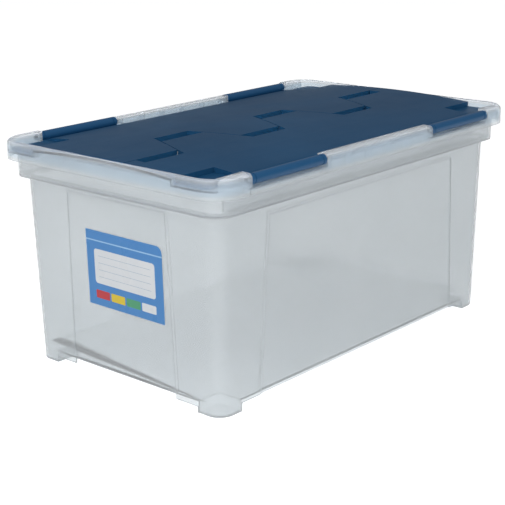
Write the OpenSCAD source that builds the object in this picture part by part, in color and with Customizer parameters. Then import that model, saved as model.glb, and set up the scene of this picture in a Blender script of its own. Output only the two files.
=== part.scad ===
// Stacking file box: a drafted, translucent tub with a channel rim, closed by two
// crowned flaps that are hinged on its long sides and mesh along a toothed seam.
// The origin is on the floor under the middle of the box. X runs along its length,
// the front flap is on the -Y side and the label is on the -X end.

/* [Tub] */
// Length over the rim
box_l = 600; // [540:5:720]
// Width over the rim
box_w = 380; // [350:5:456]
// Height from the floor to the top of the rim at its ends and corners
rim_z = 291.5; // [282:0.5:360]
// Wall thickness all over the tub
wall = 2.5; // [2:0.1:3]
// How far each wall leans outward for every millimetre of height
draft = 0.02; // [0.01:0.005:0.03]
// Outer corner radius of the body
body_r = 20; // [12:1:28]
// How far the body's top edge stands in from the rim's outer face
body_inset = 22.5; // [21:0.5:26]
// Height of the floor's upper face
floor_z = 16; // [14:0.5:22]

/* [Rim] */
// Depth of the channel rim's outer skirt
skirt_h = 24.5; // [22:0.5:30]
// Height of the straight collar between the body and the top of the rim
collar_h = 47.5; // [44:0.5:60]
// Width of the channel rim from its outer face to the tub's mouth
rim_w = 15; // [14:0.5:18]
// Outer corner radius of the rim
rim_r = 36; // [32:1:39]
// Radius along the rim's outer top edge
rim_edge_r = 6; // [4:0.5:7]
// How much lower the rim is between the hinges of a side
mid_drop = 2; // [1:0.25:2.25]
// Spacing of the ribs inside the channel between the hinges
rib_pitch = 40; // [20:1:60]
// Thickness of those ribs
rib_t = 1.6; // [1.2:0.1:2.4]

/* [Base] */
// Size of a foot along the box's length
foot_l = 36.5; // [30:0.5:60]
// Size of a foot along the box's width
foot_w = 37.5; // [30:0.5:50]
// Height of the bottom edge of the long walls
side_edge_z = 10.5; // [6:0.5:12]
// Height of the bottom edge of the end walls beside the feet
end_edge_z = 7.5; // [5:0.5:12]
// Height of the bottom edge under an end panel
end_panel_z = 13; // [10:0.5:13]

/* [Recessed panels] */
// Depth of the shallow recess in each wall
recess = 2; // [1:0.25:3]
// Width of a long wall's recess at its top
side_panel_top = 376; // [300:2:390]
// Width of a long wall's recess at its bottom
side_panel_bottom = 406; // [320:2:420]
// Distance from the inner step down to the top of a long wall's recess
side_panel_drop = 14; // [8:1:60]
// Width of an end wall's recess at its top
end_panel_top = 168; // [140:2:180]
// Width of an end wall's recess at its bottom
end_panel_bottom = 180; // [150:2:190]
// Distance from the inner step down to the top of an end wall's recess
end_panel_drop = 8; // [6:1:40]

/* [File rails] */
// Distance between the middles of the two rails that folders hang on
rail_gap = 311; // [290:1:312]
// Thickness of a rail
rail_t = 3; // [2:0.5:4]
// Height of a rail above the tub's inner step
rail_h = 16; // [8:1:20]
// Length of a rail
rail_l = 510; // [300:10:514]

/* [Hinges] */
// Length of each hinge barrel
barrel_l = 131; // [80:1:142]
// Outer diameter of a barrel
barrel_d = 13; // [11:0.5:14]
// Distance from the rim's outer face at an end to the middle of the nearest barrel
hinge_inset = 124.5; // [120:0.25:135]
// Shift of the front hinges along the length
front_shift = -2.5; // [-12:0.5:12]
// Shift of the rear hinges along the length
rear_shift = 5; // [-12:0.5:12]
// Distance from the rim's outer face in to the hinge axis
axis_inset = 6.5; // [6:0.25:7.5]
// Distance from the top of the rim down to the hinge axis
axis_drop = 8; // [7.5:0.25:9]
// Diameter of a hinge pin
pin_d = 5; // [4:0.1:6]
// Radial clearance of a pin in its barrel
pin_run = 0.075; // [0.03:0.005:0.1]
// Radial clearance of a pin in the tub's cheeks
pin_seat = 0.01; // [0.01:0.005:0.02]
// How far a pin stands out past each cheek
pin_end = 3; // [1:0.5:6]
// Thickness of the cheeks that carry a pin
cheek_t = 3; // [2:0.5:4]
// Gap between a barrel and a cheek
barrel_gap = 0.5; // [0.4:0.1:1]
// Gap between a barrel and the shelf under it
shelf_gap = 2; // [1:0.25:3]
// Distance from the hinge axis down to the upper face of a flap's arms
arm_drop = 4; // [3.5:0.1:4.5]
// Width of the groove round each end of a barrel
groove_w = 1.5; // [0.8:0.1:3]
// Depth of that groove
groove_d = 0.6; // [0.3:0.05:0.8]
// Distance from a barrel's end to its groove
groove_inset = 6; // [3:0.5:12]

/* [Flaps] */
// Height of the closed flaps at the middle of their crown, above the rim
crown_rise = 0.5; // [0:0.25:2]
// How much lower the crown is at its shoulders than at its middle
crown_drop = 7.8; // [4:0.1:8.4]
// Distance from the rim's outer face in to where the crown turns into the shoulder
shoulder_inset = 32; // [31:1:50]
// Radius of the shoulder
shoulder_r = 28; // [26:1:32]
// Thickness of a flap
flap_t = 2.5; // [2:0.1:3]
// Gap between the flaps along their seam
seam_gap = 1.6; // [1:0.1:3]
// Gap between a flap's edge and the tub's mouth
mouth_gap = 0.6; // [0.5:0.1:1.5]
// Gap between a closed flap and the ledges of the end rims
rest_gap = 0.3; // [0.3:0.05:0.6]
// Radial gap between a flap's hinge edge and the rim as it swings
swing_gap = 0.5; // [0.4:0.1:1.5]
// Gap between the pockets' inner walls and the ends of the high ledge in each end rim
ledge_gap = 1.5; // [1.2:0.1:3]
// Width of the lip outside the ledges
lip_w = 3.7; // [3:0.1:4.5]
// Gap across the width between a flap's corner and the lip that it swings past
lip_swing = 2.6; // [2.4:0.1:4]
// Distance from a flap's hinge edge in to where its ends reach over the ledges
end_inset = 2.7; // [2.5:0.1:6]
// Corner radius of the flaps
flap_r = 24; // [24:1:34]
// Depth of the flange under a flap's ends
flange_h = 12; // [4:0.5:12]
// Distance from the flaps' side edges in to that flange
flange_side = 2; // [1:0.5:6]
// Distance from the flaps' hinge edges to the flange's ends
flange_inset = 7.5; // [7:0.5:20]

/* [Stacking pockets] */
// Gap between a stacked box's foot and the inner walls of its pocket
pocket_gap = 2; // [1:0.5:4]
// Depth of the pockets' floor below the top of the rim
pocket_drop = 10.5; // [9:0.5:12]

/* [Seam] */
// Length of one tooth and one notch together
seam_pitch = 185; // [150:1:190]
// Place of the middle tooth's slanted side along the length
seam_x = -13; // [-20:1:20]
// Slant of a tooth's left side, across for every millimetre of depth
left_slant = 0.42; // [0:0.02:0.5]
// Slant of a tooth's right side
right_slant = 0.32; // [0:0.02:0.5]
// Place of the front flap's notches across the width
front_notch_y = -57; // [-70:1:-50]
// Place of the rear flap's tooth tips
rear_tip_y = -40; // [-44:1:-24]
// Place of the front flap's tooth tips
front_tip_y = 8; // [0:1:14]
// Place of the rear flap's notches
rear_notch_y = 30; // [24:1:50]
// Distance from the rim's outer face at the left to the first finger slot
first_slot_inset = 22; // [22:1:50]
// Distance from the rim's outer face at the right to the last finger slot
last_slot_inset = 34; // [30:1:60]
// Depth of the wall that lines a finger slot
slot_wall_h = 8; // [4:0.5:10]

/* [Label] */
// Width of the label
label_w = 131; // [60:1:140]
// Height of the label
label_h = 96; // [50:1:120]
// Thickness of the label
label_t = 0.3; // [0.2:0.1:0.5]
// Height of the label's lower edge
label_z = 97; // [40:1:110]
// Shift of the label's middle across the width
label_y = -9.5; // [-12:0.5:12]
// Radius of the label's rounded corner
label_r = 9; // [4:1:16]

/* [Hidden] */

FRONT = -1;
REAR = 1;
LEFT = -1;
RIGHT = 1;
// How far a cut runs past what it cuts, and how far two joined shapes lap
cut = 5;
lap = 1;
// Reach past every side of the box
far = 500;
// Facets of round shapes
fine = 96;
coarse = 48;
crown_fn = 1440;

step_z = rim_z - collar_h;
skirt_z = rim_z - skirt_h;
mouth_r = rim_r - rim_w;
collar_r = mouth_r + wall;
skirt_in_r = rim_r - wall;
corner_x = box_l / 2 - rim_r;
corner_y = box_w / 2 - rim_r;
mouth_x = box_l / 2 - rim_w;
mouth_y = box_w / 2 - rim_w;
body_l = box_l - 2 * body_inset;
body_w = box_w - 2 * body_inset;
base_half_l = body_l / 2 - draft * step_z;
base_half_w = body_w / 2 - draft * step_z;
draft_angle = atan(draft);
foot_x = base_half_l - foot_l;
foot_y = base_half_w - foot_w;
side_panel_z = step_z - side_panel_drop;
end_panel_top_z = step_z - end_panel_drop;

axis_y = box_w / 2 - axis_inset;
axis_z = rim_z - axis_drop;
notch_l = barrel_l + 2 * barrel_gap;
barrel_r = barrel_d / 2;
barrel_under = axis_z - barrel_r;
shelf_z = barrel_under - shelf_gap;
barrel_pitch = box_l - 2 * hinge_inset;
mid_half = (barrel_pitch - notch_l) / 2;
rib_pairs = floor(mid_half / rib_pitch + 0.5);
pin_l = notch_l + 2 * (cheek_t + pin_end);

shoulder_y = box_w / 2 - shoulder_inset;
crown_r = (pow(shoulder_y, 2) + pow(crown_drop, 2)) / (2 * crown_drop);
crown_z = rim_z + crown_rise;
crown_low = crown_z - crown_r;
shoulder_turn = asin(shoulder_y / crown_r);
shoulder_cy = shoulder_y - shoulder_r * sin(shoulder_turn);
shoulder_cz = crown_low + (crown_r - shoulder_r) * cos(shoulder_turn);
mouth_reach = sqrt(pow(rim_w - axis_inset, 2) + pow(axis_drop, 2));
hinge_edge_z = shoulder_cz + sqrt(pow(shoulder_r, 2) - pow(axis_y - mouth_reach - shoulder_cy, 2));
hinge_edge_y = axis_y - sqrt(pow(mouth_reach + swing_gap, 2) - pow(axis_z - hinge_edge_z, 2));
flap_end_x = box_l / 2 - lip_w - mouth_gap;
flap_side_x = mouth_x - mouth_gap;
pocket_x = foot_x - pocket_gap;
pocket_y = foot_y - pocket_gap;
pocket_z = rim_z - pocket_drop;
flange_x = flap_side_x - flange_side;
pocket_ledge_z = pocket_z - flap_t - rest_gap;
ledge_half = pocket_y - flap_t - ledge_gap;
room_y = mouth_y + mouth_gap;

seam_y = (rear_tip_y + front_tip_y) / 2;
half_gap = seam_gap / 2;
first_slot_x = first_slot_inset - box_l / 2;
last_slot_x = box_l / 2 - last_slot_inset;

// Slanted sides of the teeth: place along the length at a place across the width
function left_side(k, y) = seam_x + k * seam_pitch + (y - seam_y) * left_slant;
function right_side(k, y) = seam_x + (k + 0.5) * seam_pitch - (y - seam_y) * right_slant;

// Front flap's edge along the seam, from left to right
front_edge = concat(
    [[-far, rear_tip_y - seam_gap], [first_slot_x, rear_tip_y - seam_gap], [first_slot_x, front_notch_y]],
    [for (k = [-1:1]) each concat(
        [[left_side(k, front_notch_y) + half_gap, front_notch_y],
         [left_side(k, front_tip_y) + half_gap, front_tip_y]],
        k < 1 ? [[right_side(k, front_tip_y) - half_gap, front_tip_y],
                 [right_side(k, front_notch_y) - half_gap, front_notch_y]] : [])],
    [[last_slot_x, front_tip_y], [last_slot_x, rear_notch_y - seam_gap], [far, rear_notch_y - seam_gap]]
);

// Rear flap's edge along the seam, from left to right
rear_edge = concat(
    [[-far, rear_tip_y]],
    [for (k = [-1:1]) each concat(
        [[left_side(k, rear_tip_y) - half_gap, rear_tip_y],
         [left_side(k, rear_notch_y) - half_gap, rear_notch_y]],
        k < 1 ? [[right_side(k, rear_notch_y) + half_gap, rear_notch_y],
                 [right_side(k, rear_tip_y) + half_gap, rear_tip_y]] : [])],
    [[far, rear_notch_y]]
);

// Outline with four equal round corners, centred on the origin
module rounded_rect(l, w, r) {
    square([l - 2 * r, w], center = true);
    square([l, w - 2 * r], center = true);
    for (x = [-1, 1], y = [-1, 1])
        translate([x * (l / 2 - r), y * (w / 2 - r)])
            circle(r, $fn = coarse);
}

// Stretch of the leaning body between two heights, moved in by a wall or more
module drafted_body(z0, z1, inset) {
    l0 = 2 * (base_half_l + draft * z0 - inset);
    w0 = 2 * (base_half_w + draft * z0 - inset);
    l1 = 2 * (base_half_l + draft * z1 - inset);
    w1 = 2 * (base_half_w + draft * z1 - inset);
    translate([0, 0, z0])
        linear_extrude(z1 - z0, scale = [l1 / l0, w1 / w0], slices = 1)
            rounded_rect(l0, w0, body_r - inset);
}

// Prism over a wall panel, in the wall's own leaning plane, from a given depth outward
module panel_prism(half_top, half_bottom, top, depth) {
    translate([0, -depth, 0])
        rotate([90, 0, 0])
            mirror([0, 0, 1])
                linear_extrude(depth + cut)
                    polygon([[-half_bottom, 0], [half_bottom, 0], [half_top, top], [-half_top, top]]);
}

// The four recessed wall panels
module panels(depth, grow) {
    for (side = [0, 180])
        rotate(side)
            translate([0, base_half_w, 0])
                rotate([-draft_angle, 0, 0])
                    panel_prism(side_panel_top / 2 + grow, side_panel_bottom / 2 + grow,
                        side_panel_z + grow, depth);
    for (end = [-90, 90])
        rotate(end)
            translate([0, base_half_l, 0])
                rotate([-draft_angle, 0, 0])
                    panel_prism(end_panel_top / 2 + grow, end_panel_bottom / 2 + grow,
                        end_panel_top_z + grow, depth);
}

// Everything outside two inner faces in each corner of the plan
module corner_blocks(x, y, z0, z1) {
    for (sx = [-1, 1], sy = [-1, 1])
        mirror_corner(sx, sy)
            translate([x, y, z0])
                cube([far - x, far - y, z1 - z0]);
}

// Copy of a corner's shape for the corner with these signs
module mirror_corner(sx, sy) {
    mirror([sx < 0 ? 1 : 0, 0, 0])
        mirror([0, sy < 0 ? 1 : 0, 0])
            children();
}

// Hollow under the floor plate, with the four feet left standing
module underside() {
    difference() {
        drafted_body(-cut, floor_z - wall, wall);
        corner_blocks(foot_x, foot_y, -2 * cut, floor_z);
    }
}

// Cuts that leave the feet lower than the walls between them
module base_edges() {
    translate([-foot_x, -far / 2, -cut])
        cube([2 * foot_x, far, side_edge_z + cut]);
    translate([-far, -foot_y, -cut])
        cube([2 * far, 2 * foot_y, end_edge_z + cut]);
    translate([-far, -end_panel_bottom / 2, -cut])
        cube([2 * far, end_panel_bottom, end_panel_z + cut]);
}

// Inside of the feet, open to the tub
module foot_wells() {
    intersection() {
        drafted_body(wall, floor_z + lap, wall);
        corner_blocks(foot_x + wall, foot_y + wall, 0, floor_z + 2 * lap);
    }
}

// Leaning walls, floor and feet below the inner step
module body_shell() {
    difference() {
        drafted_body(0, step_z, 0);
        difference() {
            drafted_body(floor_z, step_z + lap, wall);
            panels(recess + wall, wall);
        }
        underside();
        foot_wells();
        base_edges();
        panels(recess, 0);
    }
}

// Section of the rim's outside, measured outward from a corner's centre
module rim_block(top, low) {
    translate([mouth_r, low])
        square([rim_w - rim_edge_r, top - low]);
    translate([mouth_r, low])
        square([rim_w, top - rim_edge_r - low]);
    translate([rim_r - rim_edge_r, top - rim_edge_r])
        circle(rim_edge_r, $fn = fine);
}

// Section of the channel under the rim
module rim_channel(top) {
    edge_r = rim_edge_r - wall;
    translate([collar_r, step_z - cut])
        square([skirt_in_r - collar_r - edge_r, top - wall - step_z + cut]);
    translate([collar_r, step_z - cut])
        square([skirt_in_r - collar_r, top - wall - edge_r - step_z + cut]);
    translate([skirt_in_r - edge_r, top - wall - edge_r])
        circle(edge_r, $fn = fine);
    translate([collar_r, step_z - cut])
        square([rim_w, skirt_z - step_z + cut]);
}

// Section of the collar, the rim's top and its skirt
module rim_section(top) {
    difference() {
        rim_block(top, step_z);
        rim_channel(top);
    }
}

// Stretch of a long side's section, from one place along the length to another
module side_stretch(x0, x1) {
    translate([x0, corner_y, 0])
        rotate([90, 0, 90])
            linear_extrude(x1 - x0)
                children();
}

// Straight rim along a long side, lower between its hinges
module side_rim(shift) {
    side_stretch(-corner_x, shift - mid_half)
        rim_section(rim_z);
    side_stretch(shift - mid_half, shift + mid_half)
        rim_section(rim_z - mid_drop);
    side_stretch(shift + mid_half, corner_x)
        rim_section(rim_z);
}

// Straight rim along an end
module end_rim() {
    translate([corner_x, corner_y, 0])
        rotate([90, 0, 0])
            linear_extrude(2 * corner_y)
                rim_section(rim_z);
}

// Region under the closed flaps' top surface, sunk by a given depth, across the width
module under_crown(sink) {
    split = shoulder_y - sink * sin(shoulder_turn);
    intersection() {
        translate([0, crown_low])
            circle(crown_r - sink, $fn = crown_fn);
        translate([-split, shoulder_cz])
            square([2 * split, far]);
    }
    for (side = [-1, 1])
        intersection() {
            translate([side * shoulder_cy, shoulder_cz])
                circle(shoulder_r - sink, $fn = 2 * fine);
            translate([side > 0 ? split - lap : -far, shoulder_cz])
                square([far - split + lap, far]);
        }
}

// Length of a shape that is drawn across the width
module along_x(x0, x1) {
    translate([x0, 0, 0])
        rotate([90, 0, 90])
            linear_extrude(x1 - x0)
                children();
}

// Room for the flaps' ends over an end rim, as deep as the pockets beside its high ledge
module end_room() {
    along_x(mouth_x - lap, box_l / 2 - lip_w) {
        difference() {
            translate([-ledge_half, skirt_z])
                square([2 * ledge_half, far]);
            under_crown(flap_t + rest_gap);
        }
        for (side = [-1, 1])
            translate([side > 0 ? ledge_half : -far, pocket_ledge_z])
                square([far - ledge_half, far]);
    }
}

// High ledge that carries the flaps' ends, with walls down to the pockets' ledges
module high_ledge() {
    sink = flap_t + rest_gap;
    along_x(mouth_x, box_l / 2 - lip_w / 2)
        difference() {
            intersection() {
                under_crown(sink);
                translate([-ledge_half, pocket_ledge_z - wall])
                    square([2 * ledge_half, far]);
            }
            intersection() {
                under_crown(sink + wall);
                translate([wall - ledge_half, 0])
                    square([2 * (ledge_half - wall), far]);
            }
        }
}

// Rim round a corner, with the room for a pocket's floor inside its lip
module corner_rim() {
    translate([corner_x, corner_y, 0])
        difference() {
            rotate_extrude(angle = 90, $fn = fine)
                rim_section(rim_z);
            translate([0, 0, pocket_ledge_z])
                linear_extrude(far)
                    intersection() {
                        circle(rim_r - lip_w, $fn = fine);
                        translate([-lap, -lap])
                            square([rim_r, room_y - corner_y + lap]);
                    }
        }
}

// Section of the rim up to the middle of its walls, from the underside of a pocket's ledge
module rim_core() {
    low = pocket_ledge_z - wall;
    translate([mouth_r + wall / 2, low])
        square([rim_w - rim_edge_r - wall / 2, rim_z - wall / 2 - low]);
    translate([mouth_r + wall / 2, low])
        square([rim_w - wall, rim_z - rim_edge_r - low]);
    translate([rim_r - rim_edge_r, rim_z - rim_edge_r])
        circle(rim_edge_r - wall / 2, $fn = fine);
}

// Ledge under a pocket's floor, and the wall that ends the room over it beside the hinges
module pocket_ledge() {
    low = pocket_ledge_z - wall;
    room = room_y - corner_y;
    translate([corner_x, corner_y, 0])
        intersection() {
            union() {
                rotate_extrude(angle = 90, $fn = fine)
                    rim_core();
                rotate([90, 0, 0])
                    linear_extrude(corner_y - ledge_half + wall / 2)
                        rim_core();
            }
            union() {
                translate([-cut, -far, low])
                    cube([far, far + room + wall / 2, wall]);
                translate([-cut, room, low])
                    cube([far, wall, far]);
            }
        }
}

// Ribs in the channel between the hinges of a side
module mid_ribs(shift) {
    for (i = [0:2 * rib_pairs - 1], x = shift + (i + 0.5 - rib_pairs) * rib_pitch)
        side_stretch(x - rib_t / 2, x + rib_t / 2)
            translate([collar_r - wall / 2, skirt_z])
                square([skirt_in_r - collar_r + wall, rim_z - mid_drop - wall / 2 - skirt_z]);
}

// Place of each hinge along a side
function hinge_x(shift, end) = shift + end * barrel_pitch / 2;
function hinge_xs(shift) = [for (end = [LEFT, RIGHT]) hinge_x(shift, end)];

// Gaps in a side's rim where the barrels lie
module hinge_notches(shift) {
    for (x = hinge_xs(shift))
        translate([x - notch_l / 2, mouth_y - cut, shelf_z])
            cube([notch_l, rim_w + 2 * cut, far]);
}

// Shelf under each barrel and the cheeks at its ends, the inner one as low as the rim beside it
module hinge_seats(shift) {
    for (hinge = [LEFT, RIGHT], x = hinge_x(shift, hinge)) {
        side_stretch(x - notch_l / 2, x + notch_l / 2)
            translate([collar_r - wall / 2, shelf_z - wall])
                square([skirt_in_r - collar_r + wall, wall]);
        for (end = [LEFT, RIGHT], middle = x + end * (notch_l + cheek_t) / 2)
            side_stretch(middle - cheek_t / 2, middle + cheek_t / 2)
                rim_block(end == hinge ? rim_z : rim_z - mid_drop, skirt_z);
    }
}

// Rod on a hinge axis
module hinge_rod(x, r, length) {
    translate([x - length / 2, axis_y, axis_z])
        rotate([0, 90, 0])
            cylinder(h = length, r = r, $fn = fine);
}

// Shape on the side with this sign, drawn for the rear
module on_side(side) {
    mirror([0, side == FRONT ? 1 : 0, 0])
        children();
}

// Shift of the hinges on the side with this sign
function side_shift(side) = side == FRONT ? front_shift : rear_shift;

// Rim all round, with its hinge seats
module rim() {
    difference() {
        union() {
            for (side = [FRONT, REAR])
                on_side(side) {
                    difference() {
                        side_rim(side_shift(side));
                        hinge_notches(side_shift(side));
                    }
                    hinge_seats(side_shift(side));
                    mid_ribs(side_shift(side));
                }
            for (end = [-1, 1])
                mirror_corner(end, 1)
                    difference() {
                        end_rim();
                        end_room();
                    }
            for (end = [-1, 1])
                mirror_corner(end, 1)
                    high_ledge();
            for (sx = [-1, 1], sy = [-1, 1])
                mirror_corner(sx, sy) {
                    corner_rim();
                    pocket_ledge();
                }
        }
        for (side = [FRONT, REAR], i = [0, 1])
            on_side(side)
                hinge_rod(hinge_xs(side_shift(side))[i], pin_d / 2 + pin_seat,
                    notch_l + 2 * cheek_t + lap);
    }
}

// Step from the body out to the collar
module inner_step() {
    translate([0, 0, step_z])
        linear_extrude(wall)
            difference() {
                rounded_rect(box_l - 2 * (rim_w - wall), box_w - 2 * (rim_w - wall), collar_r);
                rounded_rect(body_l - 2 * wall, body_w - 2 * wall, body_r - wall);
            }
}

// Rails on the step's inner edge that hanging folders hook over
module rails() {
    inner = rail_gap / 2 - rail_t / 2;
    for (side = [0, 180])
        rotate(side)
            translate([-rail_l / 2, inner, step_z]) {
                cube([rail_l, body_w / 2 - wall / 2 - inner, wall]);
                cube([rail_l, rail_t, wall + rail_h]);
            }
}

// Translucent tub with its rim, feet and rails
module tub() {
    color("#bec5c8") {
        body_shell();
        inner_step();
        rails();
        rim();
    }
}

// Plan of one flap's side of the seam
module seam_side(side) {
    if (side == FRONT)
        polygon(concat(front_edge, [[far, -far], [-far, -far]]));
    else
        polygon(concat(rear_edge, [[far, far], [-far, far]]));
}

// Space that the closed flaps may fill: the tub's mouth and, above its ledges, inside the lips
module lid_space() {
    linear_extrude(far)
        rounded_rect(2 * flap_side_x, 2 * hinge_edge_y, flap_r);
    translate([0, 0, pocket_z - flap_t])
        linear_extrude(far)
            intersection() {
                rounded_rect(2 * flap_end_x, box_w - 2 * (lip_w + lip_swing), rim_r - lip_w - mouth_gap);
                square([2 * far, 2 * (hinge_edge_y - end_inset)], center = true);
            }
}

// Crowned sheet of both flaps
module crown_sheet() {
    along_x(-flap_end_x, flap_end_x)
        difference() {
            under_crown(0);
            under_crown(flap_t);
        }
}

// Solid corners that the stacking pockets are cut into
module pocket_blocks() {
    intersection() {
        along_x(-flap_end_x, flap_end_x)
            intersection() {
                under_crown(0);
                translate([-far, pocket_z - flap_t])
                    square([2 * far, far]);
            }
        corner_blocks(pocket_x - flap_t, pocket_y - flap_t, 0, far);
    }
}

// Flanges that stiffen the ends of the flaps
module end_flanges() {
    half = hinge_edge_y - flange_inset;
    for (end = [-1, 1])
        translate([end * (flange_x - flap_t / 2), 0, 0])
            along_x(-flap_t / 2, flap_t / 2)
                intersection() {
                    under_crown(flap_t / 2);
                    translate([-half, crown_z - flap_t - flange_h])
                        square([2 * half, far]);
                }
}

// Plan of a wall along a flap's edge from p to q, on the left hand of that way, past its ends and outer face
module edge_wall(p, q) {
    way = (q - p) / norm(q - p);
    inward = [-way.y, way.x];
    start = p - way * flap_t;
    end = q + way * flap_t;
    polygon([start - inward * lap, end - inward * lap, end + inward * flap_t, start + inward * flap_t]);
}

// Walls in plan that line the finger slots on the front flap's side
module front_slot_plan() {
    for (k = [-1:1]) {
        edge_wall([left_side(k, front_notch_y) + half_gap, front_notch_y],
            [k > -1 ? right_side(k - 1, front_notch_y) - half_gap : first_slot_x, front_notch_y]);
        edge_wall([left_side(k, rear_tip_y) + half_gap, rear_tip_y],
            [left_side(k, front_notch_y) + half_gap, front_notch_y]);
        edge_wall([k < 1 ? right_side(k, front_tip_y) - half_gap : last_slot_x, front_tip_y],
            [left_side(k, front_tip_y) + half_gap, front_tip_y]);
        if (k < 1)
            edge_wall([right_side(k, front_notch_y) - half_gap, front_notch_y],
                [right_side(k, rear_tip_y) - half_gap, rear_tip_y]);
    }
    edge_wall([first_slot_x, front_notch_y], [first_slot_x, rear_tip_y]);
    edge_wall([last_slot_x, rear_notch_y], [last_slot_x, front_tip_y]);
}

// Walls in plan that line the finger slots on the rear flap's side
module rear_slot_plan() {
    for (k = [-1:1]) {
        edge_wall([k > -1 ? right_side(k - 1, rear_tip_y) + half_gap : first_slot_x, rear_tip_y],
            [left_side(k, rear_tip_y) - half_gap, rear_tip_y]);
        edge_wall([left_side(k, front_tip_y) - half_gap, front_tip_y],
            [left_side(k, rear_notch_y) - half_gap, rear_notch_y]);
        edge_wall([left_side(k, rear_notch_y) - half_gap, rear_notch_y],
            [k < 1 ? right_side(k, rear_notch_y) + half_gap : last_slot_x, rear_notch_y]);
        if (k < 1)
            edge_wall([right_side(k, rear_notch_y) + half_gap, rear_notch_y],
                [right_side(k, front_tip_y) + half_gap, front_tip_y]);
    }
}

// Walls that line the finger slots under one flap
module slot_walls(side) {
    intersection() {
        along_x(-flap_side_x, flap_side_x)
            under_crown(flap_t / 2);
        translate([0, 0, crown_z - flap_t - slot_wall_h])
            linear_extrude(slot_wall_h + flap_t)
                if (side == FRONT)
                    front_slot_plan();
                else
                    rear_slot_plan();
    }
}

// Ring cut out of a barrel at a place along the length
module barrel_groove(x) {
    difference() {
        hinge_rod(x, barrel_r + lap, groove_w);
        hinge_rod(x, barrel_r - groove_d, groove_w + 2 * lap);
    }
}

// Barrels of one side, joined to the flap's shoulder by their arms
module barrels(shift) {
    for (x = hinge_xs(shift)) {
        difference() {
            hinge_rod(x, barrel_r, barrel_l);
            for (end = [-1, 1])
                barrel_groove(x + end * (barrel_l / 2 - groove_inset));
        }
        translate([x - barrel_l / 2, hinge_edge_y - flap_t / 2, axis_z - arm_drop - flap_t])
            cube([barrel_l, axis_y - hinge_edge_y + flap_t / 2, flap_t]);
    }
}

// One flap without its barrels, with its pockets and slot walls
module flap_sheet(side) {
    difference() {
        intersection() {
            union() {
                crown_sheet();
                pocket_blocks();
                end_flanges();
                slot_walls(side);
            }
            lid_space();
            linear_extrude(far)
                seam_side(side);
        }
        corner_blocks(pocket_x, pocket_y, pocket_z, rim_z + cut);
    }
}

// One flap with its barrels
module flap(side) {
    shift = side_shift(side);
    difference() {
        union() {
            flap_sheet(side);
            on_side(side)
                barrels(shift);
        }
        for (x = hinge_xs(shift))
            on_side(side)
                hinge_rod(x, pin_d / 2 + pin_run, barrel_l + 2 * lap);
    }
}

// Front flap, hinged on the -Y side
module front_flap() {
    color("#38587a")
        flap(FRONT);
}

// Rear flap, hinged on the +Y side
module rear_flap() {
    color("#33506a")
        flap(REAR);
}

// Hinge pin of one side and one end of it
module hinge_pin(side, end) {
    color("#142d50")
        on_side(side)
            hinge_rod(side_shift(side) + end * barrel_pitch / 2, pin_d / 2, pin_l);
}

// Label on the -X end panel
module label() {
    color("#4a8ace")
        rotate(90)
            translate([0, base_half_l, 0])
                rotate([-draft_angle, 0, 0])
                    translate([label_y - label_w / 2, label_t - recess, label_z])
                        rotate([90, 0, 0])
                            linear_extrude(label_t)
                                label_outline();
}

// Rectangle with its upper front corner rounded
module label_outline() {
    square([label_w, label_h - label_r]);
    translate([label_r, 0])
        square([label_w - label_r, label_h]);
    translate([label_r, label_h - label_r])
        circle(label_r, $fn = fine);
}

tub();
front_flap();
rear_flap();
hinge_pin(FRONT, LEFT);  // front_left_pin
hinge_pin(FRONT, RIGHT);  // front_right_pin
hinge_pin(REAR, LEFT);  // rear_left_pin
hinge_pin(REAR, RIGHT);  // rear_right_pin
label();
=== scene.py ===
"""Looks of a stacking file box: frosted tub, two navy wing flaps, their hinge pins and a label."""

import logging
import math
from dataclasses import dataclass, field
from enum import Enum

import bmesh
import bpy
from mathutils import Matrix, Vector


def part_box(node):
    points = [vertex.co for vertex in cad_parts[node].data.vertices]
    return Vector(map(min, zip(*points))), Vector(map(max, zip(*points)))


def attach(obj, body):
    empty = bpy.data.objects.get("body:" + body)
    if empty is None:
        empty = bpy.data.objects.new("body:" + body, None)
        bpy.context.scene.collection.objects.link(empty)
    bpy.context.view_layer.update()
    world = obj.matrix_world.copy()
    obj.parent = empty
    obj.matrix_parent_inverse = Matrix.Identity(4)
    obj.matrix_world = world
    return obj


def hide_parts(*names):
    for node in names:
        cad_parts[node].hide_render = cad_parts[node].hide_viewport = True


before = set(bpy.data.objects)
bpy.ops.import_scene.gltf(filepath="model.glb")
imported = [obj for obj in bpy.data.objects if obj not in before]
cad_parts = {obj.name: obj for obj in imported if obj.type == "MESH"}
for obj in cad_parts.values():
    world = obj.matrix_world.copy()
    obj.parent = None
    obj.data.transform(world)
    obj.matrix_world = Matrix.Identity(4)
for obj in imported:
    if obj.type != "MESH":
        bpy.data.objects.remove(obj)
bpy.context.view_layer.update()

MM = 0.001
log = logging.getLogger("file_box")

Colour = tuple[float, float, float, float]
Point = tuple[float, float, float]
Outline = list[tuple[float, float]]


class Side(Enum):
    """A long side of the box, with its word in the names of pieces."""

    FRONT = "front"
    REAR = "rear"


class End(Enum):
    """An end of the box, with its word in the names of pieces."""

    LEFT = "left"
    RIGHT = "right"


class Axis(Enum):
    """An axis of the box, with the name of its coordinate's socket."""

    ACROSS = "Y"
    UP = "Z"


# ---------------------------------------------------------------- node wiring


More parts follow.
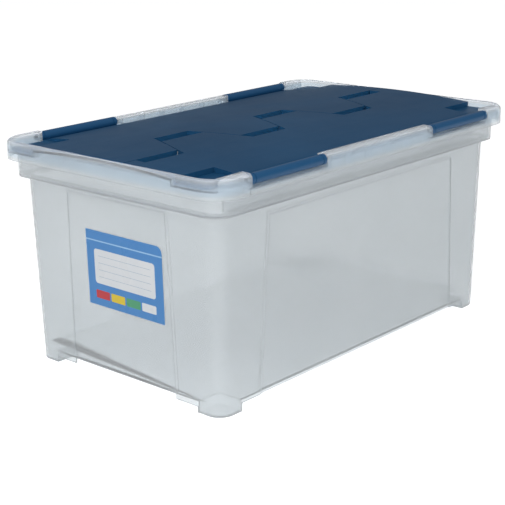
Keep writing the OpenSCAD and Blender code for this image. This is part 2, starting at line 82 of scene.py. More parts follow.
class Wiring:
    """A node tree with short ways to add nodes and join them."""

    def __init__(self, tree: bpy.types.NodeTree) -> None:
        """Starts from an emptied tree.

        Args:
            tree: The node tree to fill.
        """
        self.tree = tree
        tree.nodes.clear()

    def node(self, kind: str, **settings: object) -> bpy.types.Node:
        """Adds a node.

        Args:
            kind: The node's type name.
            settings: Properties to set on it.

        Returns:
            The new node.
        """
        made = self.tree.nodes.new(kind)
        for name, value in settings.items():
            setattr(made, name, value)
        return made

    def join(self, source: bpy.types.NodeSocket, target: bpy.types.NodeSocket) -> None:
        """Links an output socket to an input socket."""
        self.tree.links.new(source, target)

    def maths(self, operation: str, first: object, second: object = 0.0) -> bpy.types.NodeSocket:
        """Adds a Math node.

        Args:
            operation: The operation's name.
            first: A socket or a number.
            second: A socket or a number.

        Returns:
            The result's socket.
        """
        made = self.node("ShaderNodeMath", operation=operation)
        for socket, value in zip(made.inputs, (first, second)):
            if isinstance(value, bpy.types.NodeSocket):
                self.join(value, socket)
            else:
                socket.default_value = value
        return made.outputs[0]

    def stretch(
        self, value: bpy.types.NodeSocket, low: object, high: object
    ) -> bpy.types.NodeSocket:
        """Maps a value from 0..1 to a new range.

        Args:
            value: The socket to map.
            low: What 0 becomes, a socket or a number.
            high: What 1 becomes, a socket or a number.

        Returns:
            The mapped value's socket.
        """
        made = self.node("ShaderNodeMapRange")
        self.join(value, made.inputs["Value"])
        for name, end in (("To Min", low), ("To Max", high)):
            if isinstance(end, bpy.types.NodeSocket):
                self.join(end, made.inputs[name])
            else:
                made.inputs[name].default_value = end
        return made.outputs["Result"]


class EffectGroup:
    """A shader node group with named sockets that several finishes share."""

    def __init__(self, name: str, inputs: dict[str, object], outputs: dict[str, str]) -> None:
        """Makes the group and its sockets.

        Args:
            name: The group's name.
            inputs: Each input's name and default, a number or a colour.
            outputs: Each output's name and socket type.
        """
        self.tree = bpy.data.node_groups.new(name, "ShaderNodeTree")
        self.wiring = Wiring(self.tree)
        for label, value in inputs.items():
            kind = "NodeSocketColor" if isinstance(value, tuple) else "NodeSocketFloat"
            socket = self.tree.interface.new_socket(label, in_out="INPUT", socket_type=kind)
            socket.default_value = value
        for label, kind in outputs.items():
            self.tree.interface.new_socket(label, in_out="OUTPUT", socket_type=kind)
        self.given = self.wiring.node("NodeGroupInput").outputs
        self.result = self.wiring.node("NodeGroupOutput").inputs

    def place(self, wiring: Wiring, **values: object) -> bpy.types.Node:
        """Adds the group to a material.

        Args:
            wiring: The material's wiring.
            values: Inputs to set, with underscores for spaces.

        Returns:
            The group's node.
        """
        made = wiring.node("ShaderNodeGroup", node_tree=self.tree)
        for name, value in values.items():
            made.inputs[name.replace("_", " ")].default_value = value
        return made


WHITE = (1.0, 1.0, 1.0, 1.0)
NOISE_MIDDLE = 0.5
# A band is at full strength to the first share of its half width, and gone at the second
BAND_FULL, BAND_GONE = 0.7, 1.1


class Effects:
    """The effects that the finishes share, each built once."""

    def __init__(self) -> None:
        """Builds every group."""
        self.grain = self._grain()
        self.tone = self._tone()
        self.scuffs = self._scuffs()
        self.band = self._band()

    @staticmethod
    def _grain() -> EffectGroup:
        """Makes the fine grain of a moulded or printed surface.

        Returns:
            A group with Height and Roughness.
        """
        group = EffectGroup(
            "moulded grain",
            {"Grain Scale": 900.0, "Roughness": 0.4, "Unevenness": 0.1},
            {"Height": "NodeSocketFloat", "Roughness": "NodeSocketFloat"},
        )
        w = group.wiring
        place = w.node("ShaderNodeTexCoord").outputs["Object"]
        fine = w.node("ShaderNodeTexNoise")
        fine.inputs["Detail"].default_value = 3.0
        coarse = w.node("ShaderNodeTexNoise")
        coarse.inputs["Scale"].default_value = 22.0
        coarse.inputs["Detail"].default_value = 2.0
        w.join(place, fine.inputs["Vector"])
        w.join(place, coarse.inputs["Vector"])
        w.join(group.given["Grain Scale"], fine.inputs["Scale"])
        w.join(fine.outputs["Fac"], group.result["Height"])
        shift = w.maths("SUBTRACT", coarse.outputs["Fac"], NOISE_MIDDLE)
        shift = w.maths("MULTIPLY", shift, group.given["Unevenness"])
        w.join(w.maths("ADD", group.given["Roughness"], shift), group.result["Roughness"])
        return group

    @staticmethod
    def _tone() -> EffectGroup:
        """Makes the slow change of tone that melt flow leaves in a moulding.

        Returns:
            A group with Color.
        """
        group = EffectGroup(
            "flow tone",
            {"Light Tone": WHITE, "Deep Tone": (0.8, 0.8, 0.8, 1.0), "Patch Scale": 5.0},
            {"Color": "NodeSocketColor"},
        )
        w = group.wiring
        place = w.node("ShaderNodeTexCoord").outputs["Object"]
        patches = w.node("ShaderNodeTexNoise")
        patches.inputs["Detail"].default_value = 4.0
        patches.inputs["Distortion"].default_value = 0.6
        w.join(place, patches.inputs["Vector"])
        w.join(group.given["Patch Scale"], patches.inputs["Scale"])
        spread = w.node("ShaderNodeMapRange")
        spread.inputs["From Min"].default_value = 0.3
        spread.inputs["From Max"].default_value = 0.7
        w.join(patches.outputs["Fac"], spread.inputs["Value"])
        blend = w.node("ShaderNodeMix", data_type="RGBA")
        w.join(spread.outputs["Result"], blend.inputs["Factor"])
        w.join(group.given["Light Tone"], blend.inputs["A"])
        w.join(group.given["Deep Tone"], blend.inputs["B"])
        w.join(blend.outputs["Result"], group.result["Color"])
        return group

    @staticmethod
    def _scuffs() -> EffectGroup:
        """Makes the fine hairline marks of handling.

        Returns:
            A group with Mask.
        """
        group = EffectGroup(
            "handling marks",
            {"Mark Scale": 60.0, "Amount": 0.3},
            {"Mask": "NodeSocketFloat"},
        )
        w = group.wiring
        place = w.node("ShaderNodeTexCoord").outputs["Object"]
        turned = w.node("ShaderNodeMapping")
        turned.inputs["Rotation"].default_value = (0.5, 0.4, 0.7)
        turned.inputs["Scale"].default_value = (1.0, 14.0, 9.0)
        w.join(place, turned.inputs["Vector"])
        lines = w.node("ShaderNodeTexNoise")
        lines.inputs["Detail"].default_value = 2.0
        w.join(turned.outputs["Vector"], lines.inputs["Vector"])
        w.join(group.given["Mark Scale"], lines.inputs["Scale"])
        sharp = w.node("ShaderNodeMapRange")
        sharp.inputs["From Min"].default_value = 0.62
        sharp.inputs["From Max"].default_value = 0.74
        w.join(lines.outputs["Fac"], sharp.inputs["Value"])
        mask = w.maths("MULTIPLY", sharp.outputs["Result"], group.given["Amount"])
        w.join(mask, group.result["Mask"])
        return group

    @staticmethod
    def _band() -> EffectGroup:
        """Makes a straight band of another tone, with soft edges, that paints light onto a
        moulding.

        Returns:
            A group with Color, the tone below with the band over it, and Mask, the band's strength.
        """
        group = EffectGroup(
            "painted light band",
            {"Place": 0.0, "Low": 0.0, "High": 1.0, "Below": WHITE, "Band Tone": WHITE},
            {"Color": "NodeSocketColor", "Mask": "NodeSocketFloat"},
        )
        w = group.wiring
        low, high = group.given["Low"], group.given["High"]
        middle = w.maths("DIVIDE", w.maths("ADD", low, high), 2.0)
        half = w.maths("DIVIDE", w.maths("SUBTRACT", high, low), 2.0)
        away = w.maths("ABSOLUTE", w.maths("SUBTRACT", group.given["Place"], middle))
        strength = w.node("ShaderNodeMapRange", interpolation_type="SMOOTHSTEP")
        strength.inputs["From Min"].default_value = BAND_FULL
        strength.inputs["From Max"].default_value = BAND_GONE
        strength.inputs["To Min"].default_value = 1.0
        strength.inputs["To Max"].default_value = 0.0
        w.join(w.maths("DIVIDE", away, half), strength.inputs["Value"])
        blend = w.node("ShaderNodeMix", data_type="RGBA")
        w.join(strength.outputs["Result"], blend.inputs["Factor"])
        w.join(group.given["Below"], blend.inputs["A"])
        w.join(group.given["Band Tone"], blend.inputs["B"])
        w.join(blend.outputs["Result"], group.result["Color"])
        w.join(strength.outputs["Result"], group.result["Mask"])
        return group


# ------------------------------------------------------------------- finishes


@dataclass(frozen=True)
class Band:
    """A straight band of another tone on a moulding, painted where light falls on it or shows
    through it.

    Attributes:
        low: Place of its lower edge, in metres.
        high: Place of its upper edge, in metres.
        tone: Its colour.
        axis: The axis that its edges are placed on.
        polish: Strength of the coat of gloss on it.
    """

    low: float
    high: float
    tone: Colour
    axis: Axis = Axis.UP
    polish: float = 0.0

    def laid_over(
        self, tone: bpy.types.NodeSocket, w: Wiring, effects: Effects
    ) -> bpy.types.Node:
        """Lays the band over a tone.

        Args:
            tone: The tone below it.
            w: The material's wiring.
            effects: The shared node groups.

        Returns:
            The band's node, with the new tone as Color and the band's strength as Mask.
        """
        parts = w.node("ShaderNodeSeparateXYZ")
        w.join(w.node("ShaderNodeTexCoord").outputs["Object"], parts.inputs["Vector"])
        made = effects.band.place(w, Low=self.low, High=self.high, Band_Tone=self.tone)
        w.join(parts.outputs[self.axis.value], made.inputs["Place"])
        w.join(tone, made.inputs["Below"])
        return made


@dataclass(frozen=True)
class Plastic:
    """A moulded plastic, clear or solid.

    Attributes:
        name: The material's name.
        light: Its lighter tone.
        deep: Its deeper tone.
        roughness: How matt it is.
        unevenness: How much its roughness changes over the surface.
        patch_scale: Patches of tone per metre.
        grain_scale: Grains per metre.
        grain_depth: Height of the grain, in metres.
        see_through: Share of light that passes into it.
        bend: Its index of refraction.
        marks: Strength of the handling marks.
        mark_roughness: How much a mark adds to its roughness.
        gloss: The shader's specular level.
        lets_by: Share of a lamp's light that each of its surfaces lets through.
        bands: Bands of painted light in another tone, each laid over the ones before.
        coat_roughness: How matt the coat of gloss on its bands is.
    """

    name: str
    light: Colour
    deep: Colour
    roughness: float
    unevenness: float = 0.08
    patch_scale: float = 5.0
    grain_scale: float = 900.0
    grain_depth: float = 0.00002
    see_through: float = 0.0
    bend: float = 1.49
    marks: float = 0.2
    mark_roughness: float = 0.25
    gloss: float = 0.5
    lets_by: float = 0.0
    bands: tuple[Band, ...] = ()
    coat_roughness: float = 0.22

    def material(self, effects: Effects) -> bpy.types.Material:
        """Builds the material.

        Args:
            effects: The shared node groups.

        Returns:
            The new material.
        """
        made = bpy.data.materials.new(self.name)
        made.use_nodes = True
        w = Wiring(made.node_tree)
        shader = w.node("ShaderNodeBsdfPrincipled")
        output = w.node("ShaderNodeOutputMaterial")
        w.join(self._lit_through(w, shader.outputs["BSDF"]), output.inputs["Surface"])
        self._add_colour(shader, w, effects)
        self._add_surface(shader, w, effects)
        shader.inputs["Transmission Weight"].default_value = self.see_through
        shader.inputs["IOR"].default_value = self.bend
        shader.inputs["Specular IOR Level"].default_value = self.gloss
        return made

    def _add_colour(self, shader: bpy.types.Node, w: Wiring, effects: Effects) -> None:
        """Gives the shader its tones and its bands of painted light, with their coat of gloss.

        Args:
            shader: The plastic's shader.
            w: The material's wiring.
            effects: The shared node groups.
        """
        tones = effects.tone.place(
            w, Light_Tone=self.light, Deep_Tone=self.deep, Patch_Scale=self.patch_scale
        )
        colour = tones.outputs["Color"]
        coats = []
        for band in self.bands:
            laid = band.laid_over(colour, w, effects)
            colour = laid.outputs["Color"]
            if band.polish > 0:
                coats.append(w.maths("MULTIPLY", laid.outputs["Mask"], band.polish))
        w.join(colour, shader.inputs["Base Color"])
        if coats:
            coat = coats[0]
            for more in coats[1:]:
                coat = w.maths("ADD", coat, more)
            w.join(coat, shader.inputs["Coat Weight"])
            shader.inputs["Coat Roughness"].default_value = self.coat_roughness

    def _add_surface(self, shader: bpy.types.Node, w: Wiring, effects: Effects) -> None:
        """Gives the shader its grain and its handling marks.

        Args:
            shader: The plastic's shader.
            w: The material's wiring.
            effects: The shared node groups.
        """
        grain = effects.grain.place(
            w, Grain_Scale=self.grain_scale, Roughness=self.roughness, Unevenness=self.unevenness
        )
        scuffs = effects.scuffs.place(w, Amount=self.marks)
        rougher = w.maths("MULTIPLY", scuffs.outputs["Mask"], self.mark_roughness)
        rougher = w.maths("ADD", grain.outputs["Roughness"], rougher)
        w.join(rougher, shader.inputs["Roughness"])
        bump = w.node("ShaderNodeBump")
        bump.inputs["Distance"].default_value = self.grain_depth
        bump.inputs["Strength"].default_value = 1.0
        height = w.maths("SUBTRACT", grain.outputs["Height"], scuffs.outputs["Mask"])
        w.join(height, bump.inputs["Height"])
        w.join(bump.outputs["Normal"], shader.inputs["Normal"])

    def _lit_through(self, w: Wiring, solid: bpy.types.NodeSocket) -> bpy.types.NodeSocket:
        """Lets some of a lamp's light through a clear plastic.

        Args:
            w: The material's wiring.
            solid: The plastic's shader.

        Returns:
            The shader that goes to the surface.
        """
        if self.lets_by == 0.0:
            return solid
        passing = w.node("ShaderNodeBsdfTransparent")
        passing.inputs["Color"].default_value = (self.lets_by, self.lets_by, self.lets_by, 1.0)
        mix = w.node("ShaderNodeMixShader")
        w.join(w.node("ShaderNodeLightPath").outputs["Is Shadow Ray"], mix.inputs["Fac"])
        w.join(solid, mix.inputs[1])
        w.join(passing.outputs["BSDF"], mix.inputs[2])
        return mix.outputs["Shader"]


# A painted blue tint on the skirt stands in for the flaps' flanges seen through it, and a painted
# highlight on the lip over it stands in for the light that the lip catches
SKIRT_PAINTED_SHOW_THROUGH = Band(0.2705, 0.2865, (0.70, 0.77, 0.825, 1.0))
LIP_PAINTED_HIGHLIGHT = Band(0.2875, 0.2985, (0.90, 0.93, 0.965, 1.0))
FROSTED = Plastic(
    "frosted plastic",
    light=(0.785, 0.812, 0.826, 1.0),
    deep=(0.75, 0.78, 0.795, 1.0),
    roughness=0.19,
    see_through=0.74,
    bend=1.2,
    marks=0.25,
    lets_by=0.84,
    # The skirt's painted see-through tint, then the lip's painted highlight
    bands=(SKIRT_PAINTED_SHOW_THROUGH, LIP_PAINTED_HIGHLIGHT),
)
# The barrels get a painted lighter, bluer tone than the deck, which stands in for the light on
# their faces toward the front, and a glossier coat
PAINTED_BARREL_TONE = (0.018, 0.098, 0.232, 1.0)
FRONT_BARRELS_PAINTED_LIT = Band(-0.1925, -0.1735, PAINTED_BARREL_TONE, Axis.ACROSS, polish=0.35)
REAR_BARRELS_PAINTED_LIT = Band(0.1735, 0.1925, PAINTED_BARREL_TONE, Axis.ACROSS, polish=0.35)
NAVY = Plastic(
    "navy plastic",
    light=(0.016, 0.087, 0.198, 1.0),
    deep=(0.013, 0.069, 0.159, 1.0),
    roughness=0.36,
    gloss=0.035,
    # Painted lit tone on both rows of barrels, with their glossier coat
    bands=(FRONT_BARRELS_PAINTED_LIT, REAR_BARRELS_PAINTED_LIT),
)
PIN = Plastic(
    "dark pin plastic",
    light=(0.010, 0.030, 0.062, 1.0),
    deep=(0.008, 0.024, 0.050, 1.0),
    roughness=0.35,
)


@dataclass(frozen=True)
class PrintInk:
    """One flat-printed colour of the label's film.

    Attributes:
        name: The material's name.
        colour: Its colour.
        roughness: How matt it is.
        deeper: Share of its red, green and blue that is left in its deeper tone.
    """

    name: str
    colour: Colour
    roughness: float = 0.28
    deeper: tuple[float, float, float] = (0.93, 0.95, 0.97)

    def material(self, effects: Effects) -> bpy.types.Material:
        """Builds the ink's material, a film with a faint paper grain.

        Args:
            effects: The shared node groups.

        Returns:
            The new material.
        """
        *tints, alpha = self.colour
        film = Plastic(
            self.name,
            light=self.colour,
            deep=(*(tint * share for tint, share in zip(tints, self.deeper)), alpha),
            roughness=self.roughness,
            patch_scale=18.0,
            grain_scale=1500.0,
            grain_depth=0.00001,
            marks=0.1,
            gloss=0.2,
        )
        return film.material(effects)


# ---------------------------------------------------------------- mesh making


def put_in_scene(name: str, data: bpy.types.ID) -> bpy.types.Object:
    """Makes an object and adds it to the scene.

    Args:
        name: The object's name.
        data: Its mesh, camera or lamp.

    Returns:
        The new object.
    """
    made = bpy.data.objects.new(name, data)
    bpy.context.scene.collection.objects.link(made)
    return made


def piece_of(shape: bmesh.types.BMesh, name: str) -> bpy.types.Object:
    """Turns a shape into a piece in the scene.

    Args:
        shape: The shape, which is used up.
        name: The new piece's name.

    Returns:
        The new piece.
    """
    mesh = bpy.data.meshes.new(name)
    shape.to_mesh(mesh)
    shape.free()
    return put_in_scene(name, mesh)


def settle(piece: bpy.types.Object) -> bpy.types.Object:
    """Turns a piece's modifiers into its mesh.

    Args:
        piece: The piece with its modifiers.

    Returns:
        The same piece, without them.
    """
    graph = bpy.context.evaluated_depsgraph_get()
    mesh = bpy.data.meshes.new_from_object(piece.evaluated_get(graph))
    piece.modifiers.clear()
    piece.data = mesh
    return piece


@dataclass(frozen=True)
class MouldedEdges:
    """How the sharp edges of a moulding are rounded.

    Attributes:
        width: Width of the rounding, in metres.
        segments: Steps in it.
        sharp: Least angle of an edge that is rounded, in degrees.
        flat: Greatest angle between faces that lie in one plane, in degrees.
        weld: Distance under which corners are one, in metres.
    """

    width: float
    segments: int = 2
    sharp: float = 28.0
    flat: float = 0.05
    weld: float = 0.000002

    def moulded(self, node: str, name: str) -> bpy.types.Object:
        """Builds a piece in the shape of a CAD node, with its edges rounded.

        Args:
            node: The CAD node's name.
            name: The new piece's name.

        Returns:
            The new piece.
        """
        shape = bmesh.new()
        shape.from_mesh(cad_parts[node].data)
        bmesh.ops.remove_doubles(shape, verts=shape.verts, dist=self.weld)
        bmesh.ops.dissolve_limit(
            shape, angle_limit=math.radians(self.flat), verts=shape.verts, edges=shape.edges
        )
        for face in shape.faces:
            face.smooth = True
            face.material_index = 0
        piece = piece_of(shape, name)
        piece.data.set_sharp_from_angle(angle=math.radians(self.sharp))
        rounding = piece.modifiers.new("rounding", "BEVEL")
        rounding.width = self.width
        rounding.segments = self.segments
        rounding.limit_method = "ANGLE"
        rounding.angle_limit = math.radians(self.sharp)
        rounding.miter_outer = "MITER_ARC"
        shading = piece.modifiers.new("shading", "WEIGHTED_NORMAL")
        shading.mode = "FACE_AREA"
        shading.weight = 100
        shading.keep_sharp = True
        return settle(piece)


def open_edges(piece: bpy.types.Object) -> int:
    """Counts a piece's edges that don't have two faces.

    Args:
        piece: The piece.

    Returns:
        The number of them.
    """
    shape = bmesh.new()
    shape.from_mesh(piece.data)
    count = sum(not edge.is_manifold for edge in shape.edges)
    shape.free()
    return count


def dress(piece: bpy.types.Object, *materials: bpy.types.Material) -> None:
    """Gives a piece its materials, in slot order."""
    for material in materials:
        piece.data.materials.append(material)


# -------------------------------------------------------------- sub-assemblies


@dataclass
class Tub:
    """The frosted tub, one moulding with its rim, cheeks and feet.

    Attributes:
        edges: The rounding of its edges.
    """

    edges: MouldedEdges = field(default_factory=lambda: MouldedEdges(width=0.95 * MM))

    def build(self, plastic: bpy.types.Material) -> bpy.types.Object:
        """Builds the tub's shell and dresses it.

        Args:
            plastic: The tub's material.

        Returns:
            The finished shell.
        """
        shell = self.edges.moulded("tub", "tub_shell")
        dress(shell, plastic)
        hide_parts("tub")
        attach(shell, "tub")
        return shell


@dataclass
class Flap:
    """One navy wing flap with its two barrels.

    Attributes:
        side: The side it is hinged on.
        edges: The rounding of its edges.
    """

    side: Side
    edges: MouldedEdges = field(default_factory=lambda: MouldedEdges(width=0.6 * MM))

    def build(self, plastic: bpy.types.Material) -> bpy.types.Object:
        """Builds the flap and dresses it.

        Args:
            plastic: The flaps' material.

        Returns:
            The finished flap.
        """
        body = f"{self.side.value}_flap"
        piece = self.edges.moulded(body, f"{body}_moulding")
        dress(piece, plastic)
        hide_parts(body)
        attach(piece, body)
        return piece


@dataclass
class HingePin:
    """A hinge pin: a rod with chamfered ends and a shallow groove near each.

    Attributes:
        side: The side of the box that it is on.
        end: The end of that side.
        chamfer: Size of its chamfers, in metres.
        groove: Depth of its grooves and length of their slopes, in metres.
        groove_place: Distance from the rod's end to the groove, in metres.
        groove_floor: Length of a groove's floor, in metres.
        facets: Faces round the rod.
        sharp: Least angle of an edge that stays sharp, in degrees.
        weld: Distance under which corners are one, in metres.
    """

    side: Side
    end: End
    chamfer: float = 0.6 * MM
    groove: float = 0.25 * MM
    groove_place: float = 1.2 * MM
    groove_floor: float = 0.5 * MM
    facets: int = 40
    sharp: float = 30.0
    weld: float = 0.000001

    def profile(self, length: float, radius: float) -> Outline:
        """Gives the rod's outline.

        Args:
            length: Its length.
            radius: Its radius.

        Returns:
            Places along the rod with the radius at each.
        """
        floor_start = self.groove_place + self.groove
        floor_end = floor_start + self.groove_floor
        steps = [
            (0.0, 0.0),
            (0.0, radius - self.chamfer),
            (self.chamfer, radius),
            (self.groove_place, radius),
            (floor_start, radius - self.groove),
            (floor_end, radius - self.groove),
            (floor_end + self.groove, radius),
        ]
        return steps + [(length - x, r) for x, r in reversed(steps)]

    def build(self, plastic: bpy.types.Material) -> bpy.types.Object:
        """Turns the rod about its axis and dresses it.

        Args:
            plastic: The pins' material.

        Returns:
            The finished rod.
        """
        node = f"{self.side.value}_{self.end.value}_pin"
        low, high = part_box(node)
        radius = (high.z - low.z) / 2
        centre = (low + high) / 2
        shape = bmesh.new()
        points = [
            shape.verts.new((low.x + x, centre.y, centre.z + r))
            for x, r in self.profile(high.x - low.x, radius)
        ]
        edges = [shape.edges.new(pair) for pair in zip(points, points[1:])]
        bmesh.ops.spin(
            shape,
            geom=points + edges,
            cent=centre,
            axis=(1.0, 0.0, 0.0),
            angle=2 * math.pi,
            steps=self.facets,
        )
        bmesh.ops.remove_doubles(shape, verts=shape.verts, dist=self.weld)
        bmesh.ops.recalc_face_normals(shape, faces=shape.faces)
        for face in shape.faces:
            face.smooth = True
        piece = piece_of(shape, f"{node}_rod")
        piece.data.set_sharp_from_angle(angle=math.radians(self.sharp))
        dress(piece, plastic)
        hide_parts(node)
        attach(piece, "tub")
        return piece


class Ink(Enum):
    """The label's printed colours, with the colour of each."""

    BLUE = (0.088, 0.275, 0.61, 1.0)
    PALE = (0.36, 0.60, 0.86, 1.0)
    WHITE = (0.80, 0.82, 0.84, 1.0)
    RULE = (0.42, 0.52, 0.62, 1.0)
    RED = (0.58, 0.06, 0.07, 1.0)
    GREEN = (0.10, 0.38, 0.20, 1.0)
    YELLOW = (0.80, 0.60, 0.06, 1.0)


@dataclass(frozen=True)
class Block:
    """A flat rectangle, with round corners where they have a radius.

    Attributes:
        x: Place of its left edge, in metres.
        y: Place of its lower edge, in metres.
        w: Its width, in metres.
        h: Its height, in metres.
        radii: Radius of its lower left, lower right, upper right and upper left corner.
        steps: Steps round a corner.
    """

    x: float
    y: float
    w: float
    h: float
    radii: tuple[float, float, float, float] = (0.0, 0.0, 0.0, 0.0)
    steps: int = 8

    def outline(self) -> Outline:
        """Gives its outline.

        Returns:
            Its corner points, anticlockwise.
        """
        left, right, low, high = self.x, self.x + self.w, self.y, self.y + self.h
        corners = (
            (left, low, 1, 1),
            (right, low, -1, 1),
            (right, high, -1, -1),
            (left, high, 1, -1),
        )
        points = []
        for turn, ((x, y, inwards, upwards), radius) in enumerate(zip(corners, self.radii)):
            if radius == 0.0:
                points.append((x, y))
                continue
            for i in range(self.steps + 1):
                angle = math.pi + math.pi / 2 * (turn + i / self.steps)
                across = inwards + math.cos(angle)
                up = upwards + math.sin(angle)
                points.append((x + radius * across, y + radius * up))
        return points


class Layer(Enum):
    """What a block is printed on, with the number of its layer."""

    ON_FILM = 1
    ON_PANEL = 2


@dataclass(frozen=True)
class LabelPrint:
    """The layout of the label's print, in shares of the film's width and height.

    Attributes:
        line_foot: Lower edge of the pale line near the top.
        line_height: Its height.
        panel_left: Left edge of the white panel.
        panel_foot: Its lower edge.
        panel_width: Its width.
        panel_height: Its height.
        panel_corner: Radius of its corners, in metres.
        rules: Number of ruled lines on it.
        rule_pitch: Distance from line to line, as a share of the panel's height.
        rule_inset: Distance from a line's end to the panel's side, in metres.
        rule_height: A line's height, in metres.
        tabs: The colours of the tabs, from the left.
        tab_left: Left edge of the first tab.
        tab_pitch: Distance from tab to tab.
        tab_foot: Their lower edge.
        tab_width: Width of a tab.
        tab_height: Its height.
        tab_corner: Radius of its corners, in metres.
    """

    line_foot: float = 0.86
    line_height: float = 0.018
    panel_left: float = 0.10
    panel_foot: float = 0.30
    panel_width: float = 0.80
    panel_height: float = 0.46
    panel_corner: float = 4 * MM
    rules: int = 4
    rule_pitch: float = 0.2
    rule_inset: float = 7 * MM
    rule_height: float = 0.5 * MM
    tabs: tuple[Ink, ...] = (Ink.RED, Ink.YELLOW, Ink.GREEN, Ink.WHITE)
    tab_left: float = 0.10
    tab_pitch: float = 0.205
    tab_foot: float = 0.10
    tab_width: float = 0.185
    tab_height: float = 0.11
    tab_corner: float = 1.5 * MM

    def blocks(self, width: float, height: float) -> list[tuple[Layer, Ink, Block]]:
        """Lays the print out on a film.

        Args:
            width: The film's width, in metres.
            height: The film's height, in metres.

        Returns:
            Each block's layer, colour and shape.
        """
        line = Block(0.0, height * self.line_foot, width, height * self.line_height)
        panel = Block(
            width * self.panel_left,
            height * self.panel_foot,
            width * self.panel_width,
            height * self.panel_height,
            (self.panel_corner,) * 4,
        )
        made = [(Layer.ON_FILM, Ink.PALE, line), (Layer.ON_FILM, Ink.WHITE, panel)]
        rule_width = panel.w - 2 * self.rule_inset
        for i in range(self.rules):
            y = panel.y + panel.h * self.rule_pitch * (i + 1)
            rule = Block(panel.x + self.rule_inset, y, rule_width, self.rule_height)
            made.append((Layer.ON_PANEL, Ink.RULE, rule))
        for i, ink in enumerate(self.tabs):
            tab = Block(
                width * (self.tab_left + self.tab_pitch * i),
                height * self.tab_foot,
                width * self.tab_width,
                height * self.tab_height,
                (self.tab_corner,) * 4,
            )
            made.append((Layer.ON_FILM, ink, tab))
        return made


@dataclass
class Label:
    """A write-on label: a blue film with a white panel, ruled lines and colour tabs.

    Attributes:
        thickness: Thickness of the film, in metres.
        cad_thickness: Thickness of the CAD label, in metres.
        stand_off: How far the film's back is from the wall, in metres.
        corner: Radius of the film's rounded corner, in metres.
        layer: Height of each printed layer over the one below, in metres.
        layout: The layout of its print.
    """

    thickness: float = 0.2 * MM
    cad_thickness: float = 0.3 * MM
    stand_off: float = 0.03 * MM
    corner: float = 9 * MM
    layer: float = 0.02 * MM
    layout: LabelPrint = field(default_factory=LabelPrint)

    def build(self, effects: Effects) -> bpy.types.Object:
        """Builds the film and its print, and dresses them.

        Args:
            effects: The shared node groups.

        Returns:
            The finished film.
        """
        low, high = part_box("label")
        lean = math.atan2(high.x - low.x - self.cad_thickness, high.z - low.z)
        width, height = high.y - low.y, (high.z - low.z) / math.cos(lean)
        film = Block(0.0, 0.0, width, height, (0.0, 0.0, self.corner, 0.0))
        shape = bmesh.new()
        self._plate(shape, film.outline(), 0.0, self.thickness, Ink.BLUE)
        for level, ink, block in self.layout.blocks(width, height):
            base = self.thickness + (level.value - 1) * self.layer
            self._plate(shape, block.outline(), base, base + self.layer, ink)
        piece = piece_of(shape, "label_film")
        piece.data.transform(self._on_wall(Vector((high.x, high.y, low.z)), lean))
        inks = [PrintInk(f"label {ink.name.lower()}", ink.value) for ink in Ink]
        dress(piece, *(ink.material(effects) for ink in inks))
        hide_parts("label")
        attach(piece, "tub")
        return piece

    def _on_wall(self, foot: Vector, lean: float) -> Matrix:
        """Gives the film's place: across to the right as seen, up the wall, and out from it.

        Args:
            foot: The film's lower left corner on the wall.
            lean: How far the wall leans out, in radians.

        Returns:
            The matrix that puts the film there.
        """
        across = Vector((0.0, -1.0, 0.0))
        up = Vector((-math.sin(lean), 0.0, math.cos(lean)))
        out = across.cross(up)
        place = Matrix((across, up, out)).transposed().to_4x4()
        place.translation = foot + out * self.stand_off
        return place

    @staticmethod
    def _plate(
        shape: bmesh.types.BMesh, outline: Outline, base: float, top: float, ink: Ink
    ) -> None:
        """Adds a thin plate.

        Args:
            shape: The shape it goes into.
            outline: Its outline, anticlockwise.
            base: Height of its back.
            top: Height of its face.
            ink: Its colour.
        """
        index = list(Ink).index(ink)
        back = [shape.verts.new((x, y, base)) for x, y in outline]
        face = [shape.verts.new((x, y, top)) for x, y in outline]
        faces = [shape.faces.new(face), shape.faces.new(back[::-1])]
        for i in range(len(outline)):
            j = (i + 1) % len(outline)
            faces.append(shape.faces.new((back[i], back[j], face[j], face[i])))
        for each in faces:
            each.material_index = index


# --------------------------------------------------------------------- studio


@dataclass(frozen=True)
class Lamp:
    """A soft square lamp that faces the box.

    Attributes:
        name: Its name.
        place: Where it hangs, in metres.
        size: Its edge, in metres.
        power: Its power, in watts.
    """

    name: str
    place: Point
    size: float
    power: float

    def hang(self, aim: Point) -> None:
        """Hangs the lamp.

        Args:
            aim: The point that it faces, in metres.
        """
        data = bpy.data.lights.new(self.name, "AREA")
        data.shape = "SQUARE"
        data.size = self.size
        data.energy = self.power
        lamp = put_in_scene(self.name, data)
        lamp.location = self.place
        way = Vector(aim) - Vector(self.place)
        lamp.rotation_euler = way.to_track_quat("-Z", "Y").to_euler()


LAMPS = (
    Lamp("left_lamp", place=(-1.9, -0.1, 1.0), size=1.1, power=9.0),
    Lamp("front_lamp", place=(-0.5, -2.6, 1.0), size=1.4, power=16.0),
    Lamp("top_lamp", place=(-1.1, -0.5, 1.5), size=1.0, power=6.0),
)


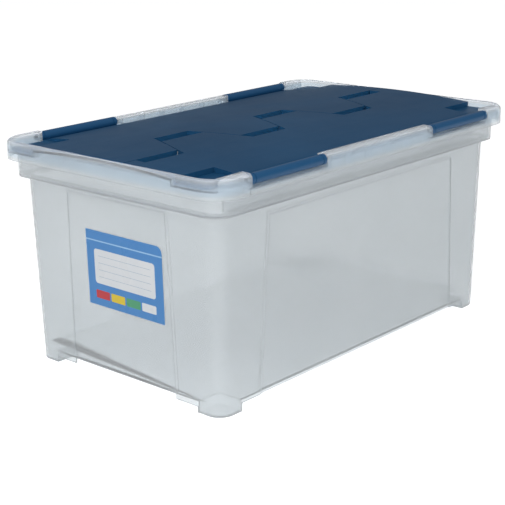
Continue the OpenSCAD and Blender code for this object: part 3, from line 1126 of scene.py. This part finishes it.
@dataclass
class Studio:
    """The pale floor, the lamps, the sky and the camera.

    Attributes:
        lens: The camera's focal length, in millimetres.
        sensor: Width of its sensor, in millimetres.
        farthest: Distance at which it stops seeing, in metres.
        heading: Its turn about the vertical, in degrees.
        dip: How far it looks down, in degrees.
        roll: Its turn about its own axis, in degrees.
        place: Where it stands, in metres.
        lamps: The lamps.
        aim: The point that the lamps face, in metres.
        sky_low: Strength of the sky's light near the horizon.
        sky_high: Strength of the sky's light overhead.
        floor_colour: The floor's colour.
        floor_white: Light that the floor adds where it is looked at.
        floor_reach: How far the floor reaches from its middle, in metres.
        floor_drop: How far the floor lies under the feet, in metres.
    """

    lens: float = 90.84
    sensor: float = 36.0
    farthest: float = 60.0
    heading: float = -48.309
    dip: float = 16.776
    roll: float = -0.731
    place: Point = (-1.2556, -1.08957, 0.6096)
    lamps: tuple[Lamp, ...] = LAMPS
    aim: Point = (0.0, 0.0, 0.15)
    sky_low: float = 0.30
    sky_high: float = 0.36
    floor_colour: Colour = (0.86, 0.87, 0.88, 1.0)
    floor_white: float = 0.70
    floor_reach: float = 14.0
    floor_drop: float = 0.0002

    def build(self) -> None:
        """Builds the whole studio."""
        self._camera()
        self._floor()
        self._sky()
        for lamp in self.lamps:
            lamp.hang(self.aim)
        bpy.context.scene.view_settings.view_transform = "Standard"

    def _camera(self) -> None:
        """Sets the camera at the photograph's angle."""
        turn, dip, roll = (math.radians(v) for v in (self.heading, self.dip, self.roll))
        back = Vector(
            (math.sin(turn) * math.cos(dip), -math.cos(turn) * math.cos(dip), math.sin(dip))
        )
        level = Vector((math.cos(turn), math.sin(turn), 0.0))
        rise = back.cross(level)
        right = level * math.cos(roll) + rise * math.sin(roll)
        up = rise * math.cos(roll) - level * math.sin(roll)
        data = bpy.data.cameras.new("photo_camera")
        data.lens = self.lens
        data.sensor_width = self.sensor
        data.clip_end = self.farthest
        camera = put_in_scene("photo_camera", data)
        stand = Matrix((right, up, back)).transposed().to_4x4()
        stand.translation = Vector(self.place)
        camera.matrix_world = stand
        bpy.context.scene.camera = camera

    def _floor(self) -> None:
        """Lays a wide floor that looks white and keeps the box's shadow."""
        shape = bmesh.new()
        bmesh.ops.create_grid(shape, x_segments=8, y_segments=8, size=self.floor_reach)
        floor = piece_of(shape, "studio_floor")
        floor.data.transform(Matrix.Translation((0.0, 0.0, -self.floor_drop)))
        made = bpy.data.materials.new("studio floor")
        made.use_nodes = True
        w = Wiring(made.node_tree)
        shader = w.node("ShaderNodeBsdfPrincipled")
        output = w.node("ShaderNodeOutputMaterial")
        shader.inputs["Base Color"].default_value = self.floor_colour
        shader.inputs["Roughness"].default_value = 0.9
        shader.inputs["Specular IOR Level"].default_value = 0.1
        shader.inputs["Emission Strength"].default_value = self.floor_white
        seen = self._looked_at(w, "Is Transmission Ray", "Is Glossy Ray")
        w.join(seen, shader.inputs["Emission Color"])
        w.join(shader.outputs["BSDF"], output.inputs["Surface"])
        dress(floor, made)

    @staticmethod
    def _looked_at(w: Wiring, *rays: str) -> bpy.types.NodeSocket:
        """Tells the rays that look at a thing from those that light it.

        Args:
            w: The wiring to add to.
            rays: The rays that look at it besides the camera's.

        Returns:
            A socket that is 1 for them and the camera's.
        """
        path = w.node("ShaderNodeLightPath")
        seen = path.outputs["Is Camera Ray"]
        for ray in rays:
            seen = w.maths("MAXIMUM", seen, path.outputs[ray])
        return seen

    def _sky(self) -> None:
        """Surrounds the scene with soft light that looks white."""
        world = bpy.data.worlds.new("studio_sky")
        world.use_nodes = True
        w = Wiring(world.node_tree)
        light = w.node("ShaderNodeBackground")
        output = w.node("ShaderNodeOutputWorld")
        parts = w.node("ShaderNodeSeparateXYZ")
        w.join(w.node("ShaderNodeTexCoord").outputs["Generated"], parts.inputs["Vector"])
        height = w.maths("MAXIMUM", parts.outputs["Z"], 0.0)
        dim = w.stretch(height, self.sky_low, self.sky_high)
        strength = w.stretch(self._looked_at(w, "Is Transmission Ray"), dim, 1.0)
        light.inputs["Color"].default_value = WHITE
        w.join(strength, light.inputs["Strength"])
        w.join(light.outputs["Background"], output.inputs["Surface"])
        bpy.context.scene.world = world


def report(piece: bpy.types.Object) -> None:
    """Logs a finished piece, with the number of its faces and open edges."""
    faces = len(piece.data.polygons)
    log.info("%s: %d faces, %d open edges", piece.name, faces, open_edges(piece))


def main() -> None:
    """Builds the studio and the box in order."""
    logging.basicConfig(level=logging.INFO, format="%(message)s")
    Studio().build()
    effects = Effects()
    navy = NAVY.material(effects)
    pin = PIN.material(effects)
    report(Tub().build(FROSTED.material(effects)))
    for side in Side:
        report(Flap(side).build(navy))
        for end in End:
            report(HingePin(side, end).build(pin))
    report(Label().build(effects))


if __name__ == "__main__":
    main()
